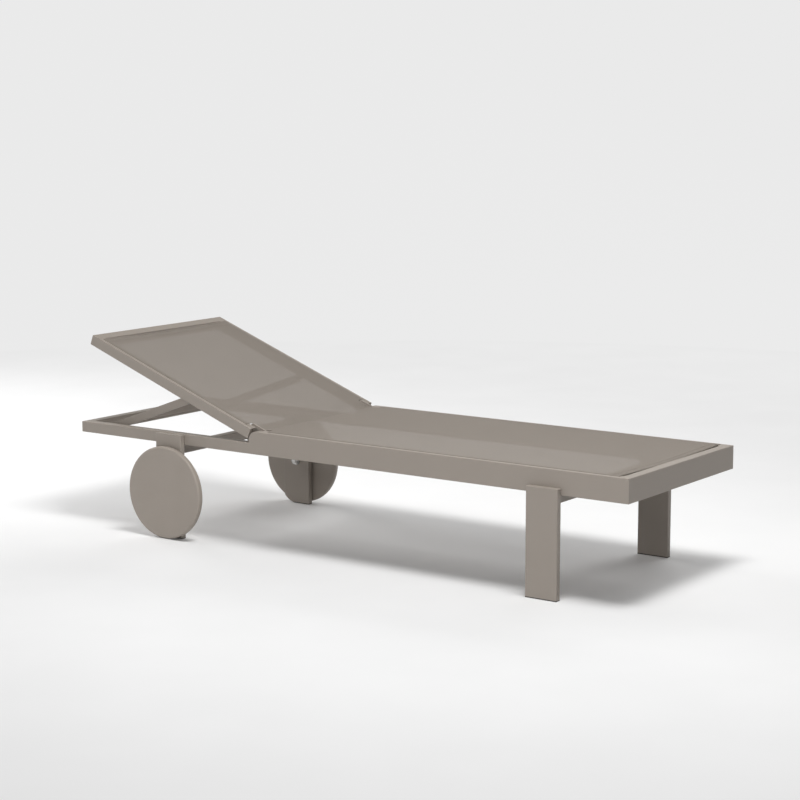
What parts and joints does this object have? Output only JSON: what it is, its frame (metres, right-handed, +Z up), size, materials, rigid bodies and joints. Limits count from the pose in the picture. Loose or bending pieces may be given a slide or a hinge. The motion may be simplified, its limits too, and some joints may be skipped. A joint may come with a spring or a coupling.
{
  "type": "sun lounger",
  "caption": "Reclining sun lounger: flat welded tube frame, taut sling textile, ratchet backrest, plate legs and a pair of disc wheels.",
  "frame": {"origin": "on the floor, under the middle of the lounger's box at rest", "axes": "+X towards the foot end, -Y the right side of a person lying on it, +Z up"},
  "size_m": [2, 0.715, 0.6119],
  "materials": {
    "frame_paint": "taupe powder coat, fine texture, satin",
    "sling_textile": "open weave of coated yarns, taupe",
    "wheel": "taupe, satin, fine texture",
    "foot_cap": "dark taupe, matt",
    "keder": "dark extruded cord",
    "nylon": "natural nylon",
    "steel": "stainless fasteners"
  },
  "bodies": {
    "frame": {"side_rail_right": "frame_paint", "side_rail_left": "frame_paint", "foot_crossbar": "frame_paint", "head_crossbar": "frame_paint", "front_crossbar": "frame_paint", "rear_crossbar": "frame_paint", "front_leg_right": "frame_paint", "front_leg_left": "frame_paint", "rear_leg_right": "frame_paint", "rear_leg_left": "frame_paint", "front_foot_cap_right": "foot_cap", "front_foot_cap_left": "foot_cap", "rear_foot_cap_right": "foot_cap", "rear_foot_cap_left": "foot_cap", "axle_bush_right": "nylon", "axle_bush_left": "nylon", "hinge_pin_right": "steel", "hinge_pin_left": "steel", "hinge_washer_right": "nylon", "hinge_washer_left": "nylon", "ratchet_rack_right": "frame_paint", "ratchet_rack_left": "frame_paint", "rack_screws": "steel", "seat_textile": "sling_textile", "seat_keder_right": "keder", "seat_keder_left": "keder"},
    "backrest": {"backrest_tube_right": "frame_paint", "backrest_tube_left": "frame_paint", "backrest_top_bar": "frame_paint", "hinge_plate_right": "frame_paint", "hinge_plate_left": "frame_paint", "hinge_plate_screws": "steel", "prop_lug_right": "frame_paint", "prop_lug_left": "frame_paint", "prop_bolt_right": "steel", "prop_bolt_left": "steel", "prop_spacer_right": "nylon", "prop_spacer_left": "nylon", "backrest_textile": "sling_textile", "backrest_keder_right": "keder", "backrest_keder_left": "keder"},
    "prop": {"prop_arm_right": "frame_paint", "prop_arm_left": "frame_paint", "prop_cross_rod": "frame_paint"},
    "wheel_r": {"wheel_right": "wheel", "axle_right": "steel", "axle_washer_right": "steel", "axle_nut_right": "steel"},
    "wheel_l": {"wheel_left": "wheel", "axle_left": "steel", "axle_washer_left": "steel", "axle_nut_left": "steel"}
  },
  "joints": [
    {"name": "backrest_hinge", "type": "hinge", "parent": "frame", "child": "backrest", "pos_m": [-0.281, 0, 0.338], "axis": [0, 1, 0], "range_deg": [-20.5, 44.5]},
    {"name": "prop_pivot", "type": "hinge", "parent": "backrest", "child": "prop", "pos_m": [-0.57972, 0, 0.43165], "axis": [0, 1, 0], "range_deg": [-85.6, 39.5]},
    {"name": "wheel_right_spin", "type": "hinge", "parent": "frame", "child": "wheel_r", "pos_m": [-0.616, -0.3475, 0.1455], "axis": [0, 1, 0], "continuous": true},
    {"name": "wheel_left_spin", "type": "hinge", "parent": "frame", "child": "wheel_l", "pos_m": [-0.616, 0.3475, 0.1455], "axis": [0, 1, 0], "continuous": true}
  ],
  "couplings": [
    {"joint": "prop_pivot", "follows": "backrest_hinge", "ratio": -1.92}
  ]
}
